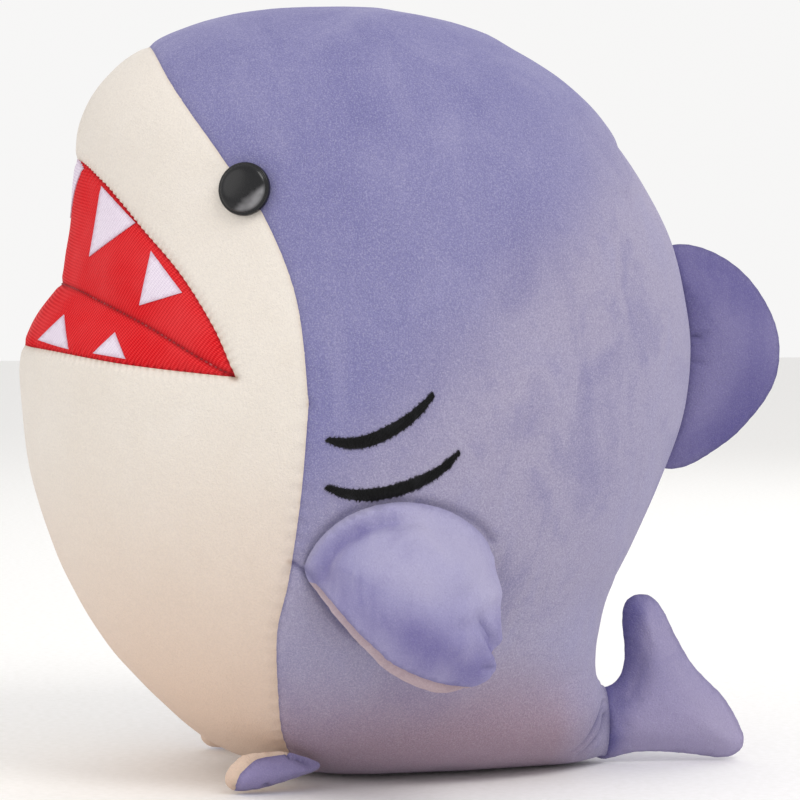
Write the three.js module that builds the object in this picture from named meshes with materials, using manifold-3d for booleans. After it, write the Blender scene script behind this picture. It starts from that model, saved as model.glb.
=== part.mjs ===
// Plush shark: a rounded upright body that sits on its belly, with an appliqued open mouth,
// felt-like teeth, button eyes, embroidered gills and five stuffed fins.
// Millimetres. The shark faces -Y, +Z is up, +X is its left side. The origin is on the
// surface it stands on, under the middle of its outline.
import * as THREE from 'three';
import { mergeVertices } from 'three/addons/utils/BufferGeometryUtils.js';
import Module from 'manifold-3d';

const wasm = await Module();
wasm.setup();

// ---------------------------------------------------------------- driving dimensions
const FABRIC = 2.5; // thickness of a sewn panel with its pile
const SEAM_GAP = 0.3; // space left between two sewn neighbours
const STUFFING_GAP = 2; // space between the panels and the stuffing behind them
const PATCH_LIFT = 0.3; // a patch or embroidery stands this far off its panel
const PATCH_TOP = 1.1; // and ends this far off it
const GILL_WIDTH = 5;
const EYE_RADIUS = 11.5;
const EYE_HEIGHT = 6.4;
const SHANK_RADIUS = 2.1;
const WASHER_RADIUS = 9.5;
const WASHER_BORE = 2.5;
const REACH = 400; // longer than the toy in every direction

// Stations of the body from the crown to the tail root. Each is the front point (y, z), the
// back point (y, z) and the half width of the oval between them.
const bodyStations = [
  [-20.5, 349.5, -20.5, 349.5, 0],
  [-68.5, 347.5, 23, 341.5, 45],
  [-111.5, 335, 53.5, 326, 73],
  [-136.5, 317.5, 78, 308.5, 90.5],
  [-149, 296.5, 94.5, 289.5, 103],
  [-151.5, 271, 109, 268.5, 111.5],
  [-154.5, 244, 122, 243, 117],
  [-166, 217, 129, 215, 120],
  [-176, 192, 131.5, 191, 121],
  [-175, 163, 128, 162.5, 120.5],
  [-171, 132.5, 117.5, 133.5, 117.5],
  [-160, 100, 104, 103.5, 111],
  [-142.5, 66.5, 92.5, 80.5, 101],
  [-117.5, 37, 88.5, 63, 89],
  [-86.5, 12.5, 88, 52, 76],
  [-46, 0.5, 88.5, 45, 65],
  [-2.5, -2, 89.5, 41.5, 55],
  [41.5, -2, 90.5, 40, 44],
  [73.5, -1, 92.5, 39, 30],
  [94.5, 3, 94.5, 38, 17],
];

// Seams, as (y, z) points seen from the side. Both sides of the toy are the same.
const MOUTH_CORNER = [-89, 184.7];
const CHEEK_JOIN = [-58.2, 173.5];
const browSeam = [[-123, 352], [-113.5, 314], [-92, 277], [-76, 253.5], [-63, 218], CHEEK_JOIN];
const bellySeam = [CHEEK_JOIN, [-61, 135], [-65.5, 97], [-69.5, 70], [-65, 30], [-57, 8], [-50, -20]];
const cheekSeam = [MOUTH_CORNER, [-71, 177.5], CHEEK_JOIN];
const upperLip = [[-170, 298], [-151, 279.5], [-128, 250.5], [-111, 229], [-97, 205], MOUTH_CORNER];
const lowerLip = [[-205, 197], [-174, 196], [-133.5, 189.5], MOUTH_CORNER];
const mouthCrease = [[-205, 240], [-158, 228], [-143, 215.5], [-123.5, 206], [-104, 194], MOUTH_CORNER];
const CREASE_DEPTH = 5;
const CREASE_WIDTH = 13;

// Teeth, as (x, z) corners seen from the front: two on the lip and the tip.
const centreTooth = [[-16, 277.5], [16, 277.5], [0, 253]];
const sideTeeth = {
  tooth_upper_inner: [[46, 266], [67.5, 250], [47.5, 235.5]],
  tooth_upper_outer: [[78, 237.5], [91.5, 220.5], [81.5, 215]],
  tooth_lower_inner: [[31, 198.5], [57.5, 196], [44.5, 210.5]],
  tooth_lower_outer: [[70.5, 194.5], [84, 192.5], [77.5, 203.5]],
};

// Gill embroidery centre lines, (y, z) seen from the side.
const gills = {
  gill_upper: [[-50.5, 159], [-36, 157.4], [-20, 163.5], [-5, 177.5]],
  gill_lower: [[-50.5, 138.6], [-33, 135], [-12, 139.5], [6.5, 153]],
};

const eyeCentre = new THREE.Vector3(99.7, -82.8, 264.1);
const eyeNormal = new THREE.Vector3(0.9, -0.42, 0.11).normalize();

// Fin outlines, counter-clockwise. Pectoral, dorsal and tail are (y, z); the pelvic fin is
// (along, up) from its own centre.
const pectoralOutline = [
  [-59, 107], [-52, 91], [-41, 75.5], [-27, 62], [-8, 52], [7, 52], [20, 61], [22.5, 78],
  [24, 95], [24, 110], [13, 123], [-8, 132.5], [-27, 132.5], [-48, 123],
];
const dorsalOutline = [
  [130.5, 139], [142, 142.5], [158, 153], [172, 169], [177.3, 187], [173, 206], [159, 225],
  [144, 235], [126.5, 240], [131.5, 222], [134.5, 203], [135, 188], [133.5, 165],
];
const tailOutline = [
  [96.5, 2], [111, 3.2], [130, 2.2], [149, 0.5], [161, 0.8], [165, 7], [160, 20], [145, 36],
  [131, 57], [120, 74], [110, 78], [103.5, 73.5], [102.5, 60], [101, 45], [96.5, 36], [96.2, 18],
];
const pelvicOutline = [
  [23, 0], [20, 6], [9, 8.5], [-6, 7.5], [-18, 4.5], [-23, 0], [-18, -5], [-6, -8], [10, -8.5], [20, -6],
];

// ---------------------------------------------------------------- colours
const PURPLE = 0x8f8cc4;
const DEEP_PURPLE = 0x7c78b4;
const CREAM = 0xefe6d8;
const RED = 0xd62f38;
const TOOTH = 0xe9d9ea;
const BLACK = 0x1c1c1f;
const EYE_BLACK = 0x08080a;
const WASHER = 0xe6e6e2;
const FIBRE = 0xf6f5f1;

const fabric = (colour) => new THREE.MeshStandardMaterial({ color: colour, roughness: 0.9, metalness: 0 });
const plastic = (colour, roughness) => new THREE.MeshStandardMaterial({ color: colour, roughness, metalness: 0 });

// ---------------------------------------------------------------- solids
function toSolid(geometry) {
  const bare = geometry.clone();
  for (const name of Object.keys(bare.attributes)) {
    if (name !== 'position') {
      bare.deleteAttribute(name);
    }
  }
  const merged = mergeVertices(bare, 1e-4);
  return new wasm.Manifold(new wasm.Mesh({
    numProp: 3,
    vertProperties: new Float32Array(merged.attributes.position.array),
    triVerts: new Uint32Array(merged.index.array),
  }));
}

function toGeometry(solid) {
  const mesh = solid.getMesh();
  const geometry = new THREE.BufferGeometry();
  geometry.setAttribute('position', new THREE.Float32BufferAttribute(mesh.vertProperties, 3));
  geometry.setIndex(Array.from(mesh.triVerts));
  geometry.computeVertexNormals();
  return geometry;
}

function box(low, high) {
  const size = high.map((value, axis) => value - low[axis]);
  const middle = high.map((value, axis) => (value + low[axis]) / 2);
  const geometry = new THREE.BoxGeometry(...size);
  geometry.translate(...middle);
  return toSolid(geometry);
}

const aboveHeight = (z) => box([-REACH, -REACH, z], [REACH, REACH, REACH]);
const leftHalf = box([SEAM_GAP / 2, -REACH, -REACH], [REACH, REACH, REACH]);

function smooth(points, steps = 8) {
  const curve = new THREE.SplineCurve(points.map(([a, b]) => new THREE.Vector2(a, b)));
  return curve.getPoints(steps * (points.length - 1));
}

// A prism through the whole toy along X from a (y, z) outline.
function sidePrism(points) {
  const geometry = new THREE.ExtrudeGeometry(new THREE.Shape(points), { depth: 2 * REACH, bevelEnabled: false });
  const toSide = new THREE.Matrix4().makeBasis(
    new THREE.Vector3(0, 1, 0), new THREE.Vector3(0, 0, 1), new THREE.Vector3(1, 0, 0));
  geometry.applyMatrix4(toSide);
  geometry.translate(-REACH, 0, 0);
  return toSolid(geometry);
}

// A prism through the front half of the toy along -Y from an (x, z) outline.
function frontPrism(points) {
  const shape = new THREE.Shape(points.map(([x, z]) => new THREE.Vector2(x, z)));
  const geometry = new THREE.ExtrudeGeometry(shape, { depth: REACH, bevelEnabled: false });
  const toFront = new THREE.Matrix4().makeBasis(
    new THREE.Vector3(1, 0, 0), new THREE.Vector3(0, 0, 1), new THREE.Vector3(0, -1, 0));
  geometry.applyMatrix4(toFront);
  return toSolid(geometry);
}

// A ribbon around a line: halfWidth(t) is its half width at each part t of the way along.
function ribbon(line, halfWidth) {
  const left = [];
  const right = [];
  line.forEach((point, i) => {
    const before = line[Math.max(i - 1, 0)];
    const after = line[Math.min(i + 1, line.length - 1)];
    const across = after.clone().sub(before).normalize().multiplyScalar(halfWidth(i / (line.length - 1)));
    left.push(new THREE.Vector2(point.x - across.y, point.y + across.x));
    right.unshift(new THREE.Vector2(point.x + across.y, point.y - across.x));
  });
  return [...right, ...left];
}

// ---------------------------------------------------------------- body surface
function stationAt(t) {
  const rows = bodyStations;
  const last = rows.length - 1;
  const i = Math.min(Math.floor(t), last - 1);
  const f = t - i;
  const [frontY, frontZ, backY, backZ, half] = rows[1];
  const before = i > 0 ? rows[i - 1] : [backY, backZ, frontY, frontZ, -half]; // over the crown
  const after = i + 2 <= last ? rows[i + 2] : rows[last].map((v, k) => 2 * v - rows[last - 1][k]);
  return rows[i].map((p1, k) => {
    const [p0, p2, p3] = [before[k], rows[i + 1][k], after[k]];
    return 0.5 * (2 * p1 + (p2 - p0) * f + (2 * p0 - 5 * p1 + 4 * p2 - p3) * f * f
      + (3 * p1 - p0 - 3 * p2 + p3) * f * f * f);
  });
}

const creaseLine = smooth(mouthCrease);

function creasePush(y, z) {
  const nearest = Math.min(...creaseLine.map((p) => Math.hypot(p.x - y, p.y - z)));
  const fade = THREE.MathUtils.smoothstep(-y, -MOUTH_CORNER[0], 150);
  return CREASE_DEPTH * fade * Math.exp(-((nearest / CREASE_WIDTH) ** 2));
}

// The closed body surface, moved outwards by offset.
function bodyGeometry(offset, perStation, segments) {
  const rings = (bodyStations.length - 1) * perStation;
  const positions = [0, bodyStations[0][0], bodyStations[0][1]];
  for (let ring = 1; ring <= rings; ring += 1) {
    const [frontY, frontZ, backY, backZ, half] = stationAt(ring / perStation);
    for (let k = 0; k < segments; k += 1) {
      const angle = (2 * Math.PI * k) / segments;
      const along = (1 + Math.cos(angle)) / 2;
      positions.push(
        half * Math.sin(angle),
        backY + (frontY - backY) * along,
        backZ + (frontZ - backZ) * along,
      );
    }
  }
  const [endFrontY, endFrontZ, endBackY, endBackZ] = bodyStations.at(-1);
  positions.push(0, (endFrontY + endBackY) / 2, (endFrontZ + endBackZ) / 2);
  const index = [];
  const at = (ring, k) => 1 + (ring - 1) * segments + (k % segments);
  for (let k = 0; k < segments; k += 1) {
    index.push(0, at(1, k), at(1, k + 1));
    index.push(at(rings, k + 1), at(rings, k), 1 + rings * segments);
    for (let ring = 1; ring < rings; ring += 1) {
      index.push(at(ring, k), at(ring + 1, k), at(ring + 1, k + 1));
      index.push(at(ring, k), at(ring + 1, k + 1), at(ring, k + 1));
    }
  }
  const geometry = new THREE.BufferGeometry();
  geometry.setAttribute('position', new THREE.Float32BufferAttribute(positions, 3));
  geometry.setIndex(index);
  geometry.computeVertexNormals();
  const { position, normal } = geometry.attributes;
  for (let i = 0; i < position.count; i += 1) {
    const push = offset - creasePush(position.getY(i), position.getZ(i));
    position.setXYZ(
      i,
      position.getX(i) + normal.getX(i) * push,
      position.getY(i) + normal.getY(i) * push,
      position.getZ(i) + normal.getZ(i) * push,
    );
  }
  return geometry;
}

const FINE = [2, 32]; // rings per station and segments, on the outside
const PLAIN = [1, 24]; // and on the inside
const outside = toSolid(bodyGeometry(0, ...FINE)).intersect(aboveHeight(0));
const inside = toSolid(bodyGeometry(-FABRIC, ...PLAIN)).intersect(aboveHeight(FABRIC));
const filling = FABRIC + STUFFING_GAP;
const stuffing = toSolid(bodyGeometry(-filling, ...PLAIN)).intersect(aboveHeight(filling));
const patchLayer = toSolid(bodyGeometry(PATCH_TOP, ...FINE)).subtract(toSolid(bodyGeometry(PATCH_LIFT, ...FINE)));

// ---------------------------------------------------------------- body panels
const seams = {
  brow: smooth(browSeam),
  belly: smooth(bellySeam),
  cheek: smooth(cheekSeam),
  upperLip: smooth(upperLip),
  lowerLip: smooth(lowerLip),
  crease: creaseLine,
};
const reversed = (line) => [...line].reverse();
const corners = (...points) => points.map(([y, z]) => new THREE.Vector2(y, z));

const regions = {
  snout: [...seams.brow, ...reversed(seams.cheek), ...reversed(seams.upperLip), ...corners([-REACH, 298], [-REACH, 352])],
  belly: [...seams.belly, ...corners([-REACH, -20], [-REACH, 197]), ...seams.lowerLip, ...seams.cheek],
  mouthUpper: [...seams.upperLip, ...reversed(seams.crease)],
  mouthLower: [...seams.crease, ...reversed(seams.lowerLip)],
  back: [...seams.brow, ...seams.belly, ...corners([REACH, -20], [REACH, 352])],
};

function eyeTool(radius, from, to) {
  const rod = new THREE.CylinderGeometry(radius, radius, to - from, 20);
  rod.translate(0, (from + to) / 2, 0);
  return atEye(rod);
}

function atEye(geometry) {
  const turn = new THREE.Quaternion().setFromUnitVectors(new THREE.Vector3(0, 1, 0), eyeNormal);
  geometry.applyQuaternion(turn);
  geometry.translate(...eyeCentre);
  return geometry;
}

function mirrored(geometry) {
  const copy = geometry.clone();
  copy.scale(-1, 1, 1);
  const order = copy.index.array;
  for (let i = 0; i < order.length; i += 3) {
    [order[i], order[i + 1]] = [order[i + 1], order[i]];
  }
  copy.computeVertexNormals();
  return copy;
}

const bothSides = (geometry) => toSolid(geometry).add(toSolid(mirrored(geometry)));

let skin = outside.subtract(inside);
for (const line of Object.values(seams)) {
  skin = skin.subtract(sidePrism(ribbon(line, () => SEAM_GAP / 2)));
}
skin = skin.subtract(bothSides(eyeTool(SHANK_RADIUS + 0.5, -12, 12)));

const group = new THREE.Group();

function add(name, geometry, material) {
  const mesh = new THREE.Mesh(geometry, material);
  mesh.name = name;
  group.add(mesh);
}

function addPair(name, geometry, material) {
  add(`${name}_left`, geometry, material);
  add(`${name}_right`, mirrored(geometry), material);
}

// The seams leave crumbs where three of them meet, so a panel is its largest piece.
const largest = (solid) => solid.decompose().sort((a, b) => b.volume() - a.volume())[0];
const panel = (region) => largest(skin.intersect(sidePrism(region)));
addPair('side_panel', toGeometry(largest(panel(regions.back).intersect(leftHalf))), fabric(PURPLE));
add('snout_panel', toGeometry(panel(regions.snout)), fabric(CREAM));
add('belly_panel', toGeometry(panel(regions.belly)), fabric(CREAM));
add('mouth_upper', toGeometry(panel(regions.mouthUpper)), fabric(RED));
add('mouth_lower', toGeometry(panel(regions.mouthLower)), fabric(RED));
add('body_stuffing', toGeometry(stuffing.subtract(bothSides(eyeTool(EYE_RADIUS, -14, 4)))), fabric(FIBRE));

// ---------------------------------------------------------------- teeth and gills
const onPatch = (prism) => toGeometry(patchLayer.intersect(prism));
add('tooth_upper_centre', onPatch(frontPrism(centreTooth)), fabric(TOOTH));
for (const [name, points] of Object.entries(sideTeeth)) {
  addPair(name, onPatch(frontPrism(points)), fabric(TOOTH));
}
for (const [name, points] of Object.entries(gills)) {
  const taper = (t) => 0.3 + (GILL_WIDTH / 2 - 0.3) * Math.sqrt(Math.sin(Math.PI * t));
  const band = sidePrism(ribbon(smooth(points, 5), taper)).intersect(leftHalf);
  addPair(name, onPatch(band), fabric(BLACK));
}

// ---------------------------------------------------------------- eyes
const lathe = (points) => new THREE.LatheGeometry(points.map(([r, h]) => new THREE.Vector2(r, h)), 24);
const buttonProfile = [
  [0, -9], [SHANK_RADIUS, -9], [SHANK_RADIUS, 0.5], [EYE_RADIUS - 0.7, 0.5], [EYE_RADIUS, 1.2],
  [EYE_RADIUS, 3.6], [EYE_RADIUS - 1, 4.8], [EYE_RADIUS * 0.55, 5.9], [0, EYE_HEIGHT],
];
const washerProfile = [
  [WASHER_BORE, -7.4], [WASHER_RADIUS, -7.4], [WASHER_RADIUS, -6], [WASHER_BORE, -6], [WASHER_BORE, -7.4],
];
addPair('eye', toGeometry(toSolid(atEye(lathe(buttonProfile)))), plastic(EYE_BLACK, 0.15));
addPair('eye_washer', toGeometry(toSolid(atEye(lathe(washerProfile)))), plastic(WASHER, 0.5));

// ---------------------------------------------------------------- fins
// A plump pad over an outline in its own (u, v) plane, thick along w, drawn in by inset.
function pad(outline, halfThickness, inset, rings) {
  const centre = new THREE.Vector2();
  outline.forEach(([u, v]) => centre.add(new THREE.Vector2(u, v).divideScalar(outline.length)));
  const rim = outline.map(([u, v]) => {
    const arm = new THREE.Vector2(u, v).sub(centre);
    return arm.setLength(arm.length() - inset);
  });
  const height = halfThickness - inset;
  const positions = [centre.x, centre.y, height];
  for (let ring = 1; ring < 2 * rings; ring += 1) {
    const angle = (Math.PI / 2) * (ring / rings);
    const spread = Math.sin(angle) ** 0.85;
    rim.forEach((arm) => {
      positions.push(centre.x + arm.x * spread, centre.y + arm.y * spread, height * Math.cos(angle));
    });
  }
  positions.push(centre.x, centre.y, -height);
  const count = rim.length;
  const at = (ring, k) => 1 + (ring - 1) * count + (k % count);
  const index = [];
  for (let k = 0; k < count; k += 1) {
    index.push(0, at(1, k), at(1, k + 1));
    index.push(at(2 * rings - 1, k + 1), at(2 * rings - 1, k), 1 + (2 * rings - 1) * count);
    for (let ring = 1; ring < 2 * rings - 1; ring += 1) {
      index.push(at(ring, k), at(ring + 1, k), at(ring + 1, k + 1));
      index.push(at(ring, k), at(ring + 1, k + 1), at(ring, k + 1));
    }
  }
  const geometry = new THREE.BufferGeometry();
  geometry.setAttribute('position', new THREE.Float32BufferAttribute(positions, 3));
  geometry.setIndex(index);
  return geometry;
}

// Bends a flat fin piece into place: place(u, v, w) gives its point on the toy.
function placed(geometry, place) {
  const { position } = geometry.attributes;
  for (let i = 0; i < position.count; i += 1) {
    position.setXYZ(i, ...place(position.getX(i), position.getY(i), position.getZ(i)));
  }
  geometry.computeVertexNormals();
  return geometry;
}

// A fin is two sewn panels, one each side of the seam at w = 0, around its stuffing.
function finPieces(outline, halfThickness, place, rings = 4) {
  const shell = toSolid(pad(outline, halfThickness, 0, rings))
    .subtract(toSolid(pad(outline, halfThickness, FABRIC, rings)));
  const upper = box([-REACH, -REACH, SEAM_GAP / 2], [REACH, REACH, REACH]);
  const lower = box([-REACH, -REACH, -REACH], [REACH, REACH, -SEAM_GAP / 2]);
  const core = toSolid(pad(outline, halfThickness, FABRIC + STUFFING_GAP / 2, rings));
  return [shell.intersect(upper), shell.intersect(lower), core].map((s) => placed(toGeometry(s), place));
}

// The pectoral fin follows the round flank at its root and hangs a little away from it.
const PECTORAL_TOP = 133;
const PECTORAL_LENGTH = 81;
const FLANK = 121.5; // half the width of the body where the fin is sewn on
function placePectoral(u, v, w) {
  const down = (PECTORAL_TOP - v) / PECTORAL_LENGTH;
  const flank = FLANK - 9 * ((u + 20) / 40) ** 2 * (1 - down);
  return [flank + 12 * Math.sin(0.75 * Math.PI * down) + w, u, v];
}

const pelvicTurn = new THREE.Matrix4()
  .makeRotationZ(THREE.MathUtils.degToRad(13))
  .multiply(new THREE.Matrix4().makeRotationY(THREE.MathUtils.degToRad(14)));
function placePelvic(u, v, w) {
  const point = new THREE.Vector3(w, u, v).applyMatrix4(pelvicTurn);
  return [point.x + 64, point.y - 69, point.z + 9.8];
}

const placeOnCentre = (u, v, w) => [w, u, v];

const pairedFins = {
  pectoral: finPieces(pectoralOutline, 12, placePectoral),
  pelvic: finPieces(pelvicOutline, 8, placePelvic, 3),
};
for (const [name, [top, underside, core]] of Object.entries(pairedFins)) {
  addPair(`${name}_fin_top`, top, fabric(PURPLE));
  addPair(`${name}_fin_underside`, underside, fabric(CREAM));
  addPair(`${name}_fin_stuffing`, core, fabric(FIBRE));
}
const centreFins = {
  dorsal: finPieces(dorsalOutline, 13, placeOnCentre),
  tail: finPieces(tailOutline, 13, placeOnCentre),
};
for (const [name, [left, right, core]] of Object.entries(centreFins)) {
  add(`${name}_fin_left`, left, fabric(DEEP_PURPLE));
  add(`${name}_fin_right`, right, fabric(DEEP_PURPLE));
  add(`${name}_fin_stuffing`, core, fabric(FIBRE));
}

export default group;
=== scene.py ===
"""The looks of the plush shark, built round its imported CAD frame.

Tables and shape functions are in millimetres in the row frame: the shark faces -Y, +Z is up
and +X is its left side. make_mesh() turns them into metres.
"""
import math

import bpy
import numpy as np
from mathutils import Matrix, Vector
from mathutils.bvhtree import BVHTree
from mathutils.geometry import delaunay_2d_cdt
from mathutils.kdtree import KDTree


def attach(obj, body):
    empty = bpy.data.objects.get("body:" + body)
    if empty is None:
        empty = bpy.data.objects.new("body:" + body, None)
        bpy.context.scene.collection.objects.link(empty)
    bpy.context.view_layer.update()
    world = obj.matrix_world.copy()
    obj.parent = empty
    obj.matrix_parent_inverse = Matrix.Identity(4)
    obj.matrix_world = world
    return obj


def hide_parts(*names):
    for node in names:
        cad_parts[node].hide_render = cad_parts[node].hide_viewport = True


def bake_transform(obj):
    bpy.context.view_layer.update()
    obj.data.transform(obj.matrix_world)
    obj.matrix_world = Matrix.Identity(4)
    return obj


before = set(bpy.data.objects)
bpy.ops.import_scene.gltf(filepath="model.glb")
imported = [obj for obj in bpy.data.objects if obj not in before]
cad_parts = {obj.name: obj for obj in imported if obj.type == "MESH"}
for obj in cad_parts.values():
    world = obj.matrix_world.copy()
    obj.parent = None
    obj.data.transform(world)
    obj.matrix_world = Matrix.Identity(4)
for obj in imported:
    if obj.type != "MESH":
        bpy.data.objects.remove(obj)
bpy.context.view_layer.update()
MM = 0.001
rng = np.random.default_rng(11)

# ------------------------------------------------------------------ the body's measures
# Front point (y, z), back point (y, z) and half width of each oval, from the crown to the tail.
STATIONS = np.array([
    [-20.5, 349.5, -20.5, 349.5, 0], [-68.5, 347.5, 23, 341.5, 45], [-111.5, 335, 53.5, 326, 73],
    [-136.5, 317.5, 78, 308.5, 90.5], [-149, 296.5, 94.5, 289.5, 103],
    [-151.5, 271, 109, 268.5, 111.5], [-154.5, 244, 122, 243, 117], [-166, 217, 129, 215, 120],
    [-176, 192, 131.5, 191, 121], [-175, 163, 128, 162.5, 120.5],
    [-171, 132.5, 117.5, 133.5, 117.5], [-160, 100, 104, 103.5, 111],
    [-142.5, 66.5, 92.5, 80.5, 101], [-117.5, 37, 88.5, 63, 89], [-86.5, 12.5, 88, 52, 76],
    [-46, 0.5, 88.5, 45, 65], [-2.5, -2, 89.5, 41.5, 55], [41.5, -2, 90.5, 40, 44],
    [73.5, -1, 91.5, 37.6, 29], [93.5, 3, 93.5, 35.8, 13],
])
MOUTH_CORNER = [-89, 184.7]
CHEEK_JOIN = [-58.2, 173.5]
BROW = [[-123, 352], [-113.5, 314], [-92, 277], [-76, 253.5], [-63, 218], CHEEK_JOIN]
BELLY = [CHEEK_JOIN, [-61, 135], [-65.5, 97], [-69.5, 70], [-65, 30], [-57, 8], [-50, -20]]
CHEEK = [MOUTH_CORNER, [-71, 177.5], CHEEK_JOIN]
UPPER_LIP = [[-170, 298], [-151, 279.5], [-128, 250.5], [-111, 229], [-97, 205], MOUTH_CORNER]
LOWER_LIP = [[-205, 197], [-174, 196], [-133.5, 189.5], MOUTH_CORNER]
CREASE = [[-205, 243], [-161, 225.5], [-147, 218.2], [-125.8, 206.8], [-104.9, 193.7], MOUTH_CORNER]
FIN_DART = [[-66, 105.5], [-59.4, 100.8], [-52.2, 90], [-40, 75], [-22, 64]]
BACK_DART = [[107, 265], [84, 262], [70, 258.5]]
TAIL_GATHERS = [
    [[91, 33], [88, 28.4], [84.5, 21.7], [80.3, 15.4], [75.1, 10.3], [66, 6]],
    [[91.4, 28], [90, 23], [87.4, 17], [82.5, 10.9], [77, 6]],
]
TAIL_ROOT = [88, 25]
SIDE_WRINKLE = [[62.2, 41], [68.5, 45.9], [76.1, 51.5]]
FIN_ARC = [
    [-58, 101.5], [-57, 108.5], [-54.3, 113.9], [-50.6, 118.7], [-45.2, 123.5], [-39.3, 127.4],
    [-32.5, 130.1], [-24.8, 131.7], [-16.6, 132.1], [-8, 130.9], [0.9, 128.6], [9.9, 124.8],
    [17.8, 119.5], [23, 113.5],
]

# ------------------------------------------------------------------ curves and distances
def spline(before, start, end, after, part):
    """A Catmull-Rom curve from start to end."""
    return 0.5 * (
        2 * start + (end - before) * part + (2 * before - 5 * start + 4 * end - after) * part**2
        + (3 * start - before - 3 * end + after) * part**3
    )


def smooth(points, steps=8):
    """A polyline through points with the corners rounded."""
    p = np.array(points, float)
    q = np.vstack([p[:1], p, p[-1:]])
    rows = [
        spline(q[i], q[i + 1], q[i + 2], q[i + 3], k / steps)
        for i in range(len(p) - 1) for k in range(steps)
    ]
    return np.array([*rows, p[-1]])


def lengths(line):
    """How far along a polyline each of its points is."""
    return np.concatenate([[0], np.cumsum(np.linalg.norm(np.diff(line, axis=0), axis=1))])


def at_marks(marks, line):
    """The places that are so far along a polyline."""
    length = lengths(line)
    return np.stack([np.interp(marks, length, axis) for axis in line.T], axis=-1)


def closed(ring):
    """An outline with its first point again at the end."""
    return np.vstack([ring, ring[:1]])


def to_line(points, line):
    """Each point's distance to a polyline, and how far along it the nearest place is."""
    best = np.full(len(points), 1e9)
    along = np.zeros(len(points))
    start = 0.0
    for a, b in zip(line[:-1], line[1:]):
        step = b - a
        length = np.linalg.norm(step)
        if length < 1e-6:
            continue
        part = np.clip((points - a) @ step / length**2, 0, 1)
        off = np.linalg.norm(points - a - part[:, None] * step, axis=1)
        closer = off < best
        best[closer] = off[closer]
        along[closer] = start + part[closer] * length
        start += length
    return best, along


def inside(points, ring):
    """Which points lie in a closed outline."""
    result = np.zeros(len(points), bool)
    for a, b in zip(ring, np.roll(ring, -1, axis=0)):
        spans = (a[1] > points[:, 1]) != (b[1] > points[:, 1])
        height = b[1] - a[1] if b[1] != a[1] else 1.0
        across = (b[0] - a[0]) * (points[:, 1] - a[1]) / height + a[0]
        result ^= spans & (points[:, 0] < across)
    return result


def signed(points, ring):
    """The distance to a closed outline, negative inside it."""
    off, _ = to_line(points, closed(ring))
    return np.where(inside(points, ring), -off, off)


def fade(value, start, end):
    """0 at start, 1 at end, smooth between them."""
    t = np.clip((value - start) / (end - start), 0, 1)
    return t * t * (3 - 2 * t)


def lumps(points, size, seed):
    """Soft noise about -1 to 1, whose bumps are about size across."""
    r = np.random.default_rng(seed)
    total = np.zeros(len(points))
    for _ in range(9):
        wave = r.normal(size=3)
        wave *= math.tau / (size * r.uniform(1.4, 2.6)) / np.linalg.norm(wave)
        total += np.sin(points @ wave + r.uniform(0, math.tau))
    return total / 4


# ------------------------------------------------------------------ triangle meshes as arrays
def edge_table(tris):
    """Every edge once, and which edges each triangle has."""
    pairs = np.sort(np.concatenate([tris[:, [0, 1]], tris[:, [1, 2]], tris[:, [2, 0]]]), axis=1)
    edges, back = np.unique(pairs, axis=0, return_inverse=True)
    return edges, back.reshape(3, -1).T


def split_edges(tris, edge_of, new_vertex):
    """Cuts triangles where their edges have a new vertex. It is -1 on an edge that has none."""
    middle = new_vertex[edge_of]
    cuts = (middle >= 0).sum(axis=1)
    out = [tris[cuts == 0]]
    for count in (1, 2, 3):
        t, m = tris[cuts == count], middle[cuts == count]
        turn = np.argmax(m >= 0, axis=1) if count == 1 else (np.argmax(m < 0, axis=1) + 1) % 3
        order = (np.arange(3) + (0 if count == 3 else turn[:, None])) % 3
        order = np.broadcast_to(order, t.shape)
        a, b, c = np.take_along_axis(t, order, 1).T
        ab, bc, ca = np.take_along_axis(m, order, 1).T
        parts = {
            1: [(a, ab, c), (ab, b, c)],
            2: [(ab, b, bc), (a, ab, bc), (a, bc, c)],
            3: [(a, ab, ca), (ab, b, bc), (ca, bc, c), (ab, bc, ca)],
        }[count]
        out += [np.stack(p, axis=1) for p in parts]
    return np.concatenate(out)


def refine(points, tris, place, wanted):
    """Halves each edge that is longer than wanted(its middle)."""
    edges, edge_of = edge_table(tris)
    ends = place(points)[edges]
    length = np.linalg.norm(ends[:, 0] - ends[:, 1], axis=1)
    long = length > wanted(ends.mean(axis=1))
    new_vertex = np.full(len(edges), -1)
    new_vertex[long] = len(points) + np.arange(long.sum())
    points = np.vstack([points, points[edges[long]].mean(axis=1)])
    return points, split_edges(tris, edge_of, new_vertex)


def cut_along(points, tris, value, fixed):
    """Makes the zero line of value(points) run along edges. Fixed vertices stay in place."""
    v = value(points)
    v[np.abs(v) < 0.05] = 0
    edges, edge_of = edge_table(tris)
    at = lambda: (v[edges[:, 0]] * v[edges[:, 1]] < 0, np.abs(v[edges[:, 0]]) / np.maximum(
        np.abs(v[edges]).sum(axis=1), 1e-9))
    crossing, part = at()
    held = fixed(points)
    for end, near in ((0, part < 0.22), (1, part > 0.78)):
        pick = np.flatnonzero(crossing & near & ~held[edges[:, end]])
        a, b = points[edges[pick, 0]], points[edges[pick, 1]]
        points[edges[pick, end]] = a + (b - a) * part[pick, None]
        v[edges[pick, end]] = 0
    crossing, part = at()
    new_vertex = np.full(len(edges), -1)
    new_vertex[crossing] = len(points) + np.arange(crossing.sum())
    a, b = points[edges[crossing, 0]], points[edges[crossing, 1]]
    points = np.vstack([points, a + (b - a) * part[crossing, None]])
    return points, split_edges(tris, edge_of, new_vertex)


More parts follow.
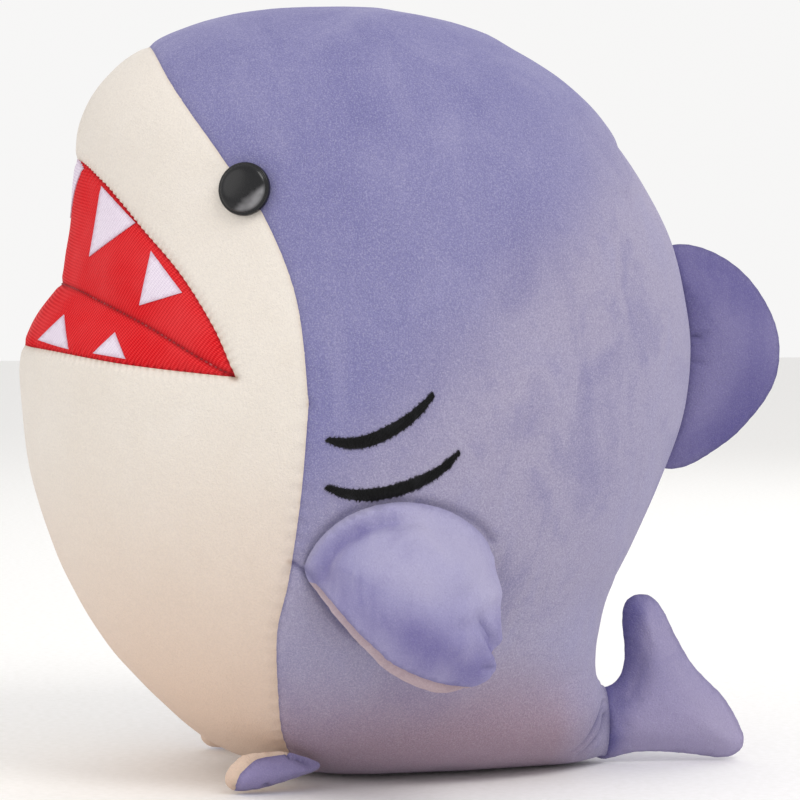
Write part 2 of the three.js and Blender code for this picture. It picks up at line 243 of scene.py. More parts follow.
def weld(points, tris):
    """Joins vertices at the same place and drops triangles that come to nothing."""
    _, keep, back = np.unique(np.round(points, 4), axis=0, return_index=True, return_inverse=True)
    tris = back.reshape(-1)[tris]
    full = (tris[:, 0] != tris[:, 1]) & (tris[:, 1] != tris[:, 2]) & (tris[:, 2] != tris[:, 0])
    return points[keep], tris[full]


def normals_of(points, tris):
    """Vertex normals, each face counting by its area."""
    a, b, c = points[tris].transpose(1, 0, 2)
    face = np.cross(b - a, c - a)
    normal = np.zeros_like(points)
    for k in range(3):
        np.add.at(normal, tris[:, k], face)
    return normal / np.maximum(np.linalg.norm(normal, axis=1), 1e-12)[:, None]


def border_edges(tris):
    """The directed edges that only one triangle has."""
    pairs = np.concatenate([tris[:, [0, 1]], tris[:, [1, 2]], tris[:, [2, 0]]])
    there = {tuple(p) for p in pairs.tolist()}
    return [(a, b) for a, b in there if (b, a) not in there]


def part_of(tris, chosen):
    """The vertices that the chosen triangles use, and the triangles counted among them."""
    used, back = np.unique(tris[chosen], return_inverse=True)
    return used, back.reshape(-1, 3)


def with_thickness(points, tris, normals, thickness):
    """A closed sheet: the surface, its copy moved inwards, and the walls along its border."""
    n = len(points)
    both = np.vstack([points, points - normals * thickness])
    walls = [
        t for a, b in border_edges(tris) for t in ((b, a, a + n), (b, a + n, b + n))
    ]
    faces = [tris, tris[:, ::-1] + n]
    if walls:
        faces.append(np.array(walls))
    return both, np.concatenate(faces)


def add_object(name, data):
    """A new object in the scene."""
    made = bpy.data.objects.new(name, data)
    bpy.context.scene.collection.objects.link(made)
    return made


def make_mesh(name, points, faces, material, attributes=None, sharp=55):
    """A Blender object from millimetres. Its own place is stored for the material to read."""
    mesh = bpy.data.meshes.new(name)
    mesh.from_pydata((np.asarray(points) * MM).tolist(), [], np.asarray(faces).tolist())
    mesh.validate()
    mesh.polygons.foreach_set("use_smooth", np.ones(len(mesh.polygons), bool))
    mesh.set_sharp_from_angle(angle=math.radians(sharp))
    given = {"rest_place": np.asarray(points) * MM, **(attributes or {})}
    for key, values in given.items():
        values = np.asarray(values, np.float32)
        kind = "FLOAT_VECTOR" if values.ndim == 2 else "FLOAT"
        attribute = mesh.attributes.new(key, kind, "POINT")
        attribute.data.foreach_set("vector" if values.ndim == 2 else "value", values.ravel())
    mesh.materials.append(material)
    return add_object(name, mesh)


def finish_piece(piece, slot, *nodes, body="root"):
    """Names what a piece rides on and hides the CAD nodes that it stands for. The slot is not used.
    """
    if body:
        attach(piece, body)
    if nodes:
        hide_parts(*nodes)
    return piece


# ------------------------------------------------------------------ materials
class Nodes:
    """A node tree, made and joined by short calls."""

    def __init__(self, owner):
        owner.use_nodes = True
        self.tree = owner.node_tree

    def node(self, kind, inputs=None, **settings):
        made = self.tree.nodes.new(kind)
        for key, value in settings.items():
            setattr(made, key, value)
        for key, value in (inputs or {}).items():
            self.link(value, made.inputs[key])
        return made

    def link(self, value, socket):
        if isinstance(value, bpy.types.NodeSocket):
            self.tree.links.new(value, socket)
        else:
            socket.default_value = value

    def xyz(self, vector):
        return self.node("ShaderNodeSeparateXYZ", {"Vector": vector}).outputs

    def noise(self, vector, size, detail=2.0, rough=0.5, distortion=0.0):
        """Noise whose bumps are about size metres across."""
        inputs = {"Vector": vector, "Scale": 1 / size, "Detail": detail, "Roughness": rough,
                  "Distortion": distortion}
        return self.node("ShaderNodeTexNoise", inputs).outputs["Fac"]

    def math(self, operation, a, b=0.0, clamp=False):
        made = self.node("ShaderNodeMath", operation=operation, use_clamp=clamp)
        self.link(a, made.inputs[0])
        self.link(b, made.inputs[1])
        return made.outputs[0]

    def times(self, a, b, clamp=False):
        return self.math("MULTIPLY", a, b, clamp=clamp)

    def spread(self, value, low, high, to_low=0.0, to_high=1.0, curve="LINEAR"):
        """The value, taken from the range low to high to another range."""
        inputs = {"Value": value, "From Min": low, "From Max": high, "To Min": to_low,
                  "To Max": to_high}
        return self.node("ShaderNodeMapRange", inputs, interpolation_type=curve).outputs[0]

    def mix(self, part, first, second, blend="MIX"):
        made = self.node("ShaderNodeMix", data_type="RGBA", blend_type=blend)
        self.link(part, made.inputs["Factor"])
        self.link(first, made.inputs[6])
        self.link(second, made.inputs[7])
        return made.outputs[2]

    def bump(self, height, strength, distance, below=None):
        """The normal over a height, on top of another normal if one is given."""
        inputs = {"Height": height, "Strength": strength, "Distance": distance}
        if below is not None:
            inputs["Normal"] = below
        return self.node("ShaderNodeBump", inputs).outputs["Normal"]


class Shader(Nodes):
    """A material's nodes."""

    def __init__(self, name, **settings):
        self.material = bpy.data.materials.new(name)
        super().__init__(self.material)
        self.base = self.tree.nodes["Principled BSDF"]
        for key, value in settings.items():
            socket = key.replace("_", " ").title().replace("Ior", "IOR")
            self.base.inputs[socket].default_value = value

    def mark(self, name, socket="Fac"):
        """A value that the mesh stores at its vertices."""
        return self.node("ShaderNodeAttribute", attribute_name=name).outputs[socket]

    def place(self, scale=(1, 1, 1), turn=(0, 0, 0)):
        """The piece's own place at rest, turned and stretched."""
        inputs = {"Vector": self.mark("rest_place", "Vector"), "Scale": scale,
                  "Rotation": [math.radians(a) for a in turn]}
        return self.node("ShaderNodeMapping", inputs).outputs["Vector"]

    def done(self, colour, normal=None, roughness=None):
        self.link(colour, self.base.inputs["Base Color"])
        if normal is not None:
            self.link(normal, self.base.inputs["Normal"])
        if roughness is not None:
            self.link(roughness, self.base.inputs["Roughness"])
        return self.material


def rgb(r, g, b):
    """A colour from 0-255 screen values."""
    bent = [((v / 255 + 0.055) / 1.055) ** 2.4 if v > 10 else v / 255 / 12.92 for v in (r, g, b)]
    return (*bent, 1.0)


# The back's painted lit sweep, paler with painted light and sheen, starts at a slanting line:
# SWEEP_BACK * y + SWEEP_DOWN * (SWEEP_TOP - z) = 0.
SWEEP_BACK, SWEEP_DOWN, SWEEP_TOP = 10.0, 9.1, 0.23


def plush(name, main, deep, pale, seam, low, painted_bounce_from, painted_lit_sweep=None, sheen=0.3, tint=(1, 1, 1, 1),
          mottle=1.0, grain=1.0):
    """Short-pile plush. Brushed patches lie lighter and darker, and the fine nap catches light.

    Low down, below a given height, the colour turns to the low colour: painted bounce light from
    below.
    Where a sweep colour is given, the back and flank are painted paler towards it: painted light
    and sheen, on pile brushed the other way.
    """
    s = Shader(name, roughness=0.92, sheen_weight=sheen, sheen_roughness=0.4, sheen_tint=tint,
               specular_ior_level=0.15)
    place = s.place()
    _, y, z = s.xyz(place)
    strokes = s.place(scale=(1, 1, 0.5), turn=(28, 8, 0))
    broad = s.noise(place, 0.1, 1.5, 0.45, 0.4)
    brushed = s.noise(strokes, 0.03, 3.0, 0.55, 0.8)
    dabs = s.noise(place, 0.012, 3.0, 0.6, 0.5)
    nap = s.noise(place, 0.00095, 2.0, 0.75)
    pile = s.noise(place, 0.0006, 1.0, 0.6)
    colour = main
    # Painted light and sheen: the back and flank turn paler beyond the slanting line.
    if painted_lit_sweep:
        lower = s.times(s.math("SUBTRACT", SWEEP_TOP, z), SWEEP_DOWN)
        lean = s.math("ADD", s.times(y, SWEEP_BACK), lower)
        wobble = s.math("ADD", s.times(broad, 0.5), s.times(brushed, 0.3))
        lean = s.math("ADD", lean, s.math("SUBTRACT", wobble, 0.3))
        colour = s.mix(s.spread(lean, 0.0, 0.85, curve="SMOOTHSTEP"), main, painted_lit_sweep)
    colour = s.mix(s.spread(broad, 0.38, 0.66, 0, 0.3 * mottle), colour, pale)
    colour = s.mix(s.spread(brushed, 0.52, 0.7, 0, 0.42 * mottle), colour, deep)
    colour = s.mix(s.spread(brushed, 0.46, 0.3, 0, 0.4 * mottle), colour, pale)
    colour = s.mix(s.spread(dabs, 0.56, 0.74, 0, 0.22 * mottle), colour, deep)
    # Painted bounce light: low down the colour turns to the low colour.
    height = s.math("ADD", z, s.times(broad, 0.03))
    painted_bounce = s.spread(height, painted_bounce_from, 0.03, curve="SMOOTHSTEP")
    if painted_lit_sweep:
        painted_bounce = s.times(painted_bounce, s.spread(y, 0.062, 0.088, 1, 0.1))
    colour = s.mix(painted_bounce, colour, low)
    # Painted shading from the mesh, partly nap: darker where its mark is positive, paler where
    # negative.
    painted_shading_and_nap_mix = s.times(s.mark("painted_shading_and_nap"), s.spread(brushed, 0.3, 0.6, 0.5, 1))
    colour = s.mix(s.times(painted_shading_and_nap_mix, 0.8, clamp=True), colour, deep)
    colour = s.mix(s.times(painted_shading_and_nap_mix, -0.8, clamp=True), colour, pale)
    colour = s.mix(s.spread(nap, 0.4, 0.6, 0.5 * grain, 0), colour, rgb(216, 216, 226), "MULTIPLY")
    colour = s.mix(s.spread(pile, 0.5, 0.66, 0, 0.13 * grain), colour, rgb(236, 234, 246))
    colour = s.mix(s.times(s.mark("seam_shade"), 0.75), colour, seam)
    normal = s.bump(pile, 0.35, 0.0005)
    normal = s.bump(nap, 0.4, 0.001, normal)
    normal = s.bump(dabs, 0.2, 0.002, normal)
    normal = s.bump(brushed, 0.2, 0.004, normal)
    return s.done(colour, normal, s.spread(brushed, 0.3, 0.7, 0.86, 0.98))


# Each material's fifth colour is its painted bounce light low down. PURPLE's last colour is the
# painted lit sweep of the back and flank.
PURPLE = plush("purple_plush", rgb(124, 122, 167), rgb(105, 103, 154), rgb(152, 149, 184),
               rgb(66, 62, 108), rgb(156, 133, 147), 0.085, rgb(161, 155, 180),
               tint=rgb(214, 210, 236), mottle=0.8)
FIN_PURPLE = plush("purple_plush_fin", rgb(151, 147, 186), rgb(98, 90, 149), rgb(186, 181, 204),
                   rgb(66, 62, 108), rgb(134, 127, 172), 0.125, tint=rgb(214, 210, 236), grain=0.45)
TAIL_PURPLE = plush("purple_plush_tail", rgb(134, 128, 171), rgb(82, 78, 141), rgb(162, 154, 182),
                    rgb(48, 44, 92), rgb(160, 151, 184), 0.07, tint=rgb(214, 210, 236), grain=0.5)
DEEP_PURPLE = plush("purple_plush_deep", rgb(107, 101, 149), rgb(86, 80, 137), rgb(133, 127, 166),
                    rgb(52, 48, 92), rgb(142, 133, 174), 0.06, tint=rgb(208, 204, 232), grain=0.45)
CREAM = plush("cream_plush", rgb(226, 218, 208), rgb(218, 208, 196), rgb(233, 227, 220),
              rgb(190, 166, 146), rgb(220, 195, 176), 0.19, sheen=0.12, mottle=0.5, grain=0.35)
# The pectoral fins' underside: cream plush with painted shade, darker and mauve, as cream lying in
# shadow.
PAINTED_SHADE_CREAM = plush("cream_plush_painted_shade", rgb(178, 160, 168), rgb(154, 136, 148), rgb(200, 184, 186),
                  rgb(120, 98, 110), rgb(178, 152, 156), 0.11, sheen=0.12, mottle=0.6, grain=0.5)


def tricot(name, main, valley, glint, seam):
    """Warp-knit cloth: fine ribs across the mouth that break into small slanting cells."""
    s = Shader(name, roughness=0.7, specular_ior_level=0.04)
    x, y, z = s.xyz(s.place())
    wander = s.times(s.noise(s.place(), 0.03, 1.0), 0.0007)
    side = s.math("ADD", s.math("ABSOLUTE", x), y)
    rows = s.math("ADD", s.math("ADD", z, s.times(side, 0.1)), wander)
    rib = s.math("SINE", s.times(rows, math.tau / 0.0014))
    slant = s.times(s.math("ADD", side, s.times(rows, 0.8)), math.tau / 0.0024)
    stitch = s.math("SINE", slant)
    cells = s.spread(s.math("ABSOLUTE", x), 0.01, 0.045)
    knit = s.mix(cells, s.spread(rib, -1, 1, 0.1, 0.85), s.spread(s.times(stitch, rib), -0.9, 0.9))
    fuzz = s.noise(s.place(), 0.0007, 2.0, 0.7)
    broad = s.noise(s.place(), 0.025, 2.0, 0.5)
    colour = s.mix(s.spread(knit, 0.05, 0.5, 0.2, 1), valley, main)
    colour = s.mix(s.times(s.spread(knit, 0.6, 1.0), 0.22), colour, glint)
    colour = s.mix(s.spread(fuzz, 0.42, 0.68, 0, 0.2), colour, valley)
    colour = s.mix(s.spread(broad, 0.35, 0.7, 0, 0.12), colour, glint)
    colour = s.mix(s.times(s.mark("seam_shade"), 0.85), colour, seam)
    normal = s.bump(s.math("ADD", knit, s.times(fuzz, 0.3)), 0.3, 0.0004)
    return s.done(colour, normal, s.spread(knit, 0, 1, 0.72, 0.52))


RED = tricot("red_tricot", rgb(216, 30, 36), rgb(168, 16, 24), rgb(240, 118, 120), rgb(112, 12, 22))
TOOTH = tricot("tooth_tricot", rgb(226, 214, 228), rgb(206, 192, 212), rgb(244, 238, 244),
               rgb(176, 140, 160))


def thread(name, main, dark, glint):
    """Embroidery thread: fine twisted fibres with a soft shine and random painted glints."""
    s = Shader(name, roughness=0.45, sheen_weight=0.05, specular_ior_level=0.35)
    fibres = s.noise(s.place(), 0.00035, 2.0, 0.7)
    painted_shine = s.noise(s.place(), 0.006, 2.0, 0.5)
    colour = s.mix(s.spread(fibres, 0.35, 0.7), dark, main)
    # Painted glints: random patches turn towards the glint colour.
    colour = s.mix(s.spread(painted_shine, 0.5, 0.75, 0, 0.3), colour, glint)
    return s.done(colour, s.bump(fibres, 0.5, 0.0003), s.spread(fibres, 0.3, 0.7, 0.45, 0.7))


BLACK_THREAD = thread("black_thread", rgb(17, 17, 19), rgb(6, 6, 8), rgb(58, 58, 62))
RED_THREAD = thread("crease_thread", rgb(168, 26, 34), rgb(104, 12, 20), rgb(232, 150, 152))


def moulded(name, main, scratch, painted_shine):
    """Glossy moulded plastic with faint ripples and hairline scratches, and a painted reflection: a
    pale part where the mesh marks it.
    """
    s = Shader(name, roughness=0.24, specular_ior_level=0.36)
    ripple = s.noise(s.place(), 0.007, 2.0, 0.5, 0.3)
    hair = s.noise(s.place(scale=(1, 6, 1), turn=(35, 0, 20)), 0.0012, 3.0, 0.7)
    painted_reflection = s.times(s.mark("painted_reflection"), s.spread(ripple, 0.3, 0.65, 0.45, 1))
    colour = s.mix(painted_reflection, main, painted_shine)
    colour = s.mix(s.spread(hair, 0.58, 0.72, 0, 0.3), colour, scratch)
    return s.done(colour, s.bump(ripple, 0.1, 0.0006), s.spread(hair, 0.35, 0.7, 0.16, 0.32))


# The third colour is the eye's painted reflection.
EYE_BLACK = moulded("eye_plastic", rgb(15, 15, 18), rgb(48, 48, 52), rgb(128, 127, 130))

# ------------------------------------------------------------------ the body's surface
LAST = len(STATIONS) - 1
OVER_CROWN = STATIONS[1][[2, 3, 0, 1, 4]] * [1, 1, 1, 1, -1]
ROWS = np.vstack([OVER_CROWN, STATIONS, 2 * STATIONS[-1] - STATIONS[-2]])


def body_at(points):
    """Places (station, angle from the front) pairs on the plain oval body."""
    row = np.clip(points[:, 0].astype(int), 0, LAST - 1)
    part = (points[:, 0] - row)[:, None]
    s = spline(ROWS[row], ROWS[row + 1], ROWS[row + 2], ROWS[row + 3], part)
    along = (1 + np.cos(points[:, 1])) / 2
    x = s[:, 4] * np.sin(points[:, 1])
    x[(points[:, 1] < 1e-9) | (points[:, 1] > math.pi - 1e-9)] = 0
    y = s[:, 2] + (s[:, 0] - s[:, 2]) * along
    z = s[:, 3] + (s[:, 1] - s[:, 3]) * along
    return np.stack([x, y, z], axis=1)


seams = {k: smooth(v) for k, v in {
    "brow": BROW, "belly": BELLY, "cheek": CHEEK, "upper_lip": UPPER_LIP, "lower_lip": LOWER_LIP,
    "crease": CREASE}.items()}
FAR = 420
regions = {
    "side": np.vstack([seams["brow"], seams["belly"], [[FAR, -20], [FAR, 352]]]),
    "belly": np.vstack([seams["belly"], [[-FAR, -20], [-FAR, 197]], seams["lower_lip"],
                        seams["cheek"]]),
    "mouth_upper": np.vstack([seams["upper_lip"], seams["crease"][::-1]]),
    "mouth_lower": np.vstack([seams["crease"], seams["lower_lip"][::-1]]),
}
fine_lines = [seams["upper_lip"], seams["lower_lip"], seams["crease"]]
plain_lines = [seams["brow"], seams["belly"], seams["cheek"]]
plain_lines += [smooth(FIN_DART), smooth(BACK_DART), smooth(FIN_ARC)]


def wanted_edge(points):
    """How long the body's edges may be at a place."""
    side = points[:, 1:]
    fine = np.min([to_line(side, line)[0] for line in fine_lines], axis=0)
    plain = np.min([to_line(side, line)[0] for line in plain_lines], axis=0)
    root = np.hypot(*(side - TAIL_ROOT).T)
    length = np.interp(fine, [3, 7, 30], [1.15, 2.2, 5.5])
    length = np.minimum(length, np.interp(plain, [2.5, 8, 30], [1.7, 3, 5.5]))
    return np.minimum(length, np.interp(root, [25, 60], [1.9, 5.5]))


ROWS_PER_STATION = 7


def half_body():
    """The left half of the body's net, cut along its seams."""
    rings, around = LAST * ROWS_PER_STATION, 84
    u, v = np.meshgrid(np.arange(rings + 1) / ROWS_PER_STATION,
                       np.linspace(0, math.pi, around + 1), indexing="ij")
    points = np.stack([u.ravel(), v.ravel()], axis=1)
    a = (np.arange(rings)[:, None] * (around + 1) + np.arange(around)).ravel()
    b, c, d = a + around + 1, a + around + 2, a + 1
    tris = np.concatenate([np.stack([a, b, c], axis=1), np.stack([a, c, d], axis=1)])
    for _ in range(3):
        points, tris = refine(points, tris, body_at, wanted_edge)
    on_centre = lambda p: (p[:, 1] < 1e-9) | (p[:, 1] > math.pi - 1e-9) | (p[:, 0] < 1e-9)
    for ring in regions.values():
        beyond = lambda p, r=ring: signed(body_at(p)[:, 1:], r)
        points, tris = cut_along(points, tris, beyond, on_centre)
    return body_at(points), tris


left, left_tris = half_body()
points, tris = weld(
    np.vstack([left, left * [-1, 1, 1]]),
    np.vstack([left_tris, left_tris[:, ::-1] + len(left)]),
)
centre = points[tris].mean(axis=1)
label = np.full(len(tris), "snout", dtype="U12")
for name in ("side", "belly", "mouth_upper", "mouth_lower"):
    label[inside(centre[:, 1:], regions[name]) & (label == "snout")] = name
label[(label == "side") & (centre[:, 0] > 0)] = "side_left"
label[label == "side"] = "side_right"

# The end of the tail root is closed with a fan.
rim = border_edges(tris)
tail_end = len(points)
points = np.vstack([points, points[[a for a, _ in rim]].mean(axis=0)])
fan = np.array([(b, a, tail_end) for a, b in rim])
on_left = points[fan].mean(axis=1)[:, 0] > 0
label = np.concatenate([label, np.where(on_left, "side_left", "side_right")])
tris = np.concatenate([tris, fan])


# ------------------------------------------------------------------ folds, seams and stuffing
def seam_chain(first, second):
    """The vertices along the seam between two panels, in order, and the length up to each."""
    others = set(border_edges(tris[label == second]))
    after = {a: b for a, b in border_edges(tris[label == first]) if (b, a) in others}
    start = (set(after) - set(after.values())) or set(after)
    chain = [min(start)]
    while chain[-1] in after and len(chain) <= len(after):
        chain.append(after[chain[-1]])
    return chain, lengths(points[chain])


def near(places, reach, marks):
    """Distance from each vertex to the nearest of the places, and that place's mark."""
    tree = KDTree(len(places))
    for i, place in enumerate(places):
        tree.insert(place, i)
    tree.balance()
    off = np.full(len(points), 1e3)
    mark = np.zeros(len(points))
    low, high = places.min(axis=0) - reach, places.max(axis=0) + reach
    for i in np.flatnonzero(((points > low) & (points < high)).all(axis=1)):
        _, which, distance = tree.find(points[i])
        off[i] = distance
        mark[i] = marks[which]
    return off, mark


def hollow(off, width):
    return np.exp(-((off / width) ** 2))


side_view = points[:, 1:]
plain_normals = normals_of(points, tris)
push = np.zeros(len(points))
shade = np.zeros(len(points))

# The crease across the open mouth, as deep as the frame's.
crease_off, _ = to_line(side_view, seams["crease"])
mouth_fade = fade(-points[:, 1], -MOUTH_CORNER[0], 150)
in_front = points[:, 1] < MOUTH_CORNER[0] + 6
push -= 4.2 * mouth_fade * hollow(crease_off, 12)
push -= 1.3 * in_front * hollow(crease_off, 2.0)
shade += 0.7 * in_front * hollow(crease_off, 1.0)

SEAMS = {
    ("snout", "mouth_upper"): (1.3, 2.6, 3.5, 0.42),
    ("belly", "mouth_lower"): (1.1, 2.4, 3.5, 0.42),
    ("snout", "belly"): (0.7, 2.2, 7.0, 0.1),
    ("snout", "side_left"): (0.9, 2.4, 9.0, 0.12),
    ("snout", "side_right"): (0.9, 2.4, 9.0, 0.12),
    ("belly", "side_left"): (1.2, 2.8, 8.0, 0.28),
    ("belly", "side_right"): (1.2, 2.8, 8.0, 0.28),
    ("side_left", "side_right"): (0.8, 2.2, 9.0, 0.1),
}
for (first, second), (depth, width, pitch, pucker) in SEAMS.items():
    chain, length = seam_chain(first, second)
    off, along = near(points[chain], 30, length)
    phase = along * math.tau / pitch + 0.8 * np.sin(along / 9.7)
    push -= depth * hollow(off, width) + 0.5 * hollow(off, 9)
    push += pucker * np.cos(phase) * hollow(off, width * 1.7)
    dots = np.clip(np.cos(phase) * -1.4, 0, 1) * (pucker > 0.3)
    shade += hollow(off, 0.9) * (0.45 + 0.5 * dots)

dart_off, dart_along = to_line(side_view, smooth(FIN_DART))
on_flank = np.abs(points[:, 0]) > 60
dart = 1.7 * hollow(dart_off, 1.7) + 0.9 * hollow(dart_off, 7)
push -= on_flank * dart * fade(dart_along, 0, 4)
shade += on_flank * 0.7 * hollow(dart_off, 1.0)
back_off, back_along = to_line(side_view, smooth(BACK_DART))
push -= (0.9 * hollow(back_off, 2.0) + 0.5 * hollow(back_off, 8)) * fade(back_along, 36, 12)
arc_off, _ = to_line(side_view, smooth(FIN_ARC))
push -= on_flank * 1.5 * hollow(arc_off, 2.4)
shade += on_flank * 0.45 * hollow(arc_off, 1.3)
for line in TAIL_GATHERS:
    off, along = to_line(side_view, smooth(line))
    strength = fade(along, 40, 8) * fade(along, 0, 4) * (points[:, 1] > 55)
    push += strength * (0.6 * hollow(off - 3.2, 2.0) - 2.1 * hollow(off, 1.9))
    shade += 0.5 * strength * hollow(off, 0.9)
off, along = to_line(side_view, smooth(SIDE_WRINKLE))
off_centre = np.abs(points[:, 0]) > 20
push -= 0.7 * hollow(off, 3.2) * fade(along, 0, 6) * fade(along, 17, 8) * off_centre
push += 1.0 * lumps(points, 75, 1) + 0.45 * lumps(points, 30, 2) + 0.12 * lumps(points, 11, 3)
push *= fade(points[:, 1], STATIONS[-1][2] - 0.2, STATIONS[-1][2] - 3)
shade += 0.45 * hollow(np.linalg.norm(side_view - [91, 22], axis=1), 11)
shade += 0.5 * (points[:, 2] < 60) * hollow(points[:, 1] - STATIONS[-1][2], 1.4)

points = points + plain_normals * push[:, None]
points[:, 2] = 0.5 * (points[:, 2] + np.sqrt(points[:, 2] ** 2 + 2.5**2)) - 0.2
body_normals = normals_of(points, tris)
body_tree = BVHTree.FromPolygons(points.tolist(), tris.tolist())
shade = np.clip(shade, 0, 1)

PANEL_THICKNESS, BODY_FILL, FIN_FILL = 2.0, 0.9, 0.75
PANELS = {
    "side_left": (PURPLE, "purple_plush", ["side_panel_left", "body_stuffing"]),
    "side_right": (PURPLE, "purple_plush", ["side_panel_right"]),
    "snout": (CREAM, "cream_plush", ["snout_panel"]),
    "belly": (CREAM, "cream_plush", ["belly_panel"]),
    "mouth_upper": (RED, "red_tricot", ["mouth_upper"]),
    "mouth_lower": (RED, "red_tricot", ["mouth_lower"]),
}
for name, (material, slot, nodes) in PANELS.items():
    used, faces = part_of(tris, label == name)
    both, sheet = with_thickness(points[used], faces, body_normals[used], PANEL_THICKNESS)
    marks = {"seam_shade": np.tile(shade[used], 2)}
    piece = make_mesh(f"{name}_skin", both, sheet, material, marks)
    finish_piece(piece, slot, *nodes)


def flank(y, z, side=1):
    """Where a line along X meets the finished body: its place and the outward normal."""
    hit, normal, _, _ = body_tree.ray_cast(Vector((side * 400, y, z)), Vector((-side, 0, 0)))
    return hit, normal


# ------------------------------------------------------------------ patches, embroidery and eyes
def ring_of(outline, spacing, rounded=True):
    """A closed outline with its points evenly apart, and its corners rounded if asked."""
    o = np.array(outline, float)
    curve = smooth(np.vstack([o[-1:], o, o[:2]]), 10)[10:-11] if rounded else o
    loop = closed(curve)
    length = lengths(loop)
    count = max(int(length[-1] / spacing), 6)
    marks = np.linspace(0, length[-1], count, endpoint=False)
    if not rounded:
        marks = np.unique(np.concatenate([marks, length[:-1]]))
    return at_marks(marks, loop)


def net(ring, spacing, seam=None):
    """A flat net of triangles that fills an outline, with edges along a seam across it."""
    low, high = ring.min(axis=0), ring.max(axis=0)
    u, v = np.meshgrid(np.arange(low[0], high[0], spacing),
                       np.arange(low[1], high[1], spacing * 0.87))
    u = u + spacing / 2 * (np.arange(len(u)) % 2)[:, None]
    fill = np.stack([u.ravel(), v.ravel()], axis=1)
    fill = fill[signed(fill, ring) < -0.6 * spacing]
    edges = []
    if seam is not None:
        fill = fill[to_line(fill, seam)[0] > 0.6 * spacing]
        start = len(ring) + len(fill)
        edges = [(start + k, start + k + 1) for k in range(len(seam) - 1)]
        fill = np.vstack([fill, seam])
    flat = np.vstack([ring, fill])
    out = delaunay_2d_cdt([Vector(p) for p in flat], edges, [list(range(len(ring)))], 1, 1e-5)
    points2 = np.array([list(p) for p in out[0]])
    faces = np.array([f for f in out[2] if len(f) == 3])
    a, b, c = points2[faces].transpose(1, 0, 2)
    wrong = np.cross(b - a, c - a) < 0
    faces[wrong] = faces[wrong][:, ::-1]
    return points2, faces


def on_face(x, z):
    """Where a line along Y meets the front of the body."""
    return body_tree.ray_cast(Vector((x, -400, z)), Vector((0, 1, 0)))[0]


TOOTH_LIFT, TOOTH_THICKNESS = 0.45, 0.8


def tooth(name, corners, node, away):
    """A thin bonded patch of white cloth, cut with straight edges as seen from one direction."""
    away = Vector(away).normalized()
    across = Vector((0, 0, 1)).cross(away)
    at = [on_face(x, z) for x, z in corners]
    flat, faces = net(ring_of([(across @ Vector(p), p[2]) for p in at], 1.3, rounded=False), 1.5)
    places, normals = [], []
    for u, v in flat:
        hit, normal, _, _ = body_tree.ray_cast(across * u + Vector((0, 0, v)) + away * 400, -away)
        places.append(np.array(hit) + np.array(normal) * TOOTH_LIFT)
        normals.append(np.array(normal))
    off = np.min([to_line(flat, flat[[a, b]])[0] for a, b in border_edges(faces)], axis=0)
    both, sheet = with_thickness(np.array(places), faces, np.array(normals), TOOTH_THICKNESS)
    marks = {"seam_shade": np.tile(0.6 * hollow(off, 0.5), 2)}
    piece = make_mesh(name, both, sheet, TOOTH, marks, sharp=40)
    finish_piece(piece, "tooth_tricot", node)


CENTRE_TOOTH = [[-20, 274.8], [0, 253], [20, 274.8], [10, 278.4], [0, 279.6], [-10, 278.4]]
SIDE_TEETH = {
    "upper_inner": [[41, 266.6], [43.8, 235.6], [64.4, 250.2]],
    "upper_outer": [[77, 237.8], [79.5, 214.6], [92.4, 220.2]],
    "lower_inner": [[29.2, 198.6], [57.6, 195.3], [43, 209.9]],
    "lower_outer": [[70.9, 193.9], [83, 191.8], [75, 202.8]],
}
tooth("tooth_centre", CENTRE_TOOTH, "tooth_upper_centre", (0, -1, 0))
for name, corners in SIDE_TEETH.items():
    mirrored = [[-x, z] for x, z in corners[::-1]]
    tooth(f"tooth_{name}_l", corners, f"tooth_{name}_left", (0.99, -0.14, 0))
    tooth(f"tooth_{name}_r", mirrored, f"tooth_{name}_right", (-0.99, -0.14, 0))

GILLS = {
    "gill_upper": [
        [-50.5, 158.5], [-42, 156.8], [-33.8, 157.6], [-25.4, 160.9], [-16.9, 165.9], [-9.8, 172],
        [-5, 177.7],
    ],
    "gill_lower": [
        [-50.5, 138.4], [-42, 135.3], [-31.7, 134.7], [-21.5, 136.3], [-11.2, 139.8],
        [-1.4, 145.1], [6.6, 152.6],
    ],
}
THREAD_PITCH, THREAD_HEIGHT, THREAD_DEPTH = 0.55, 1.25, 1.5


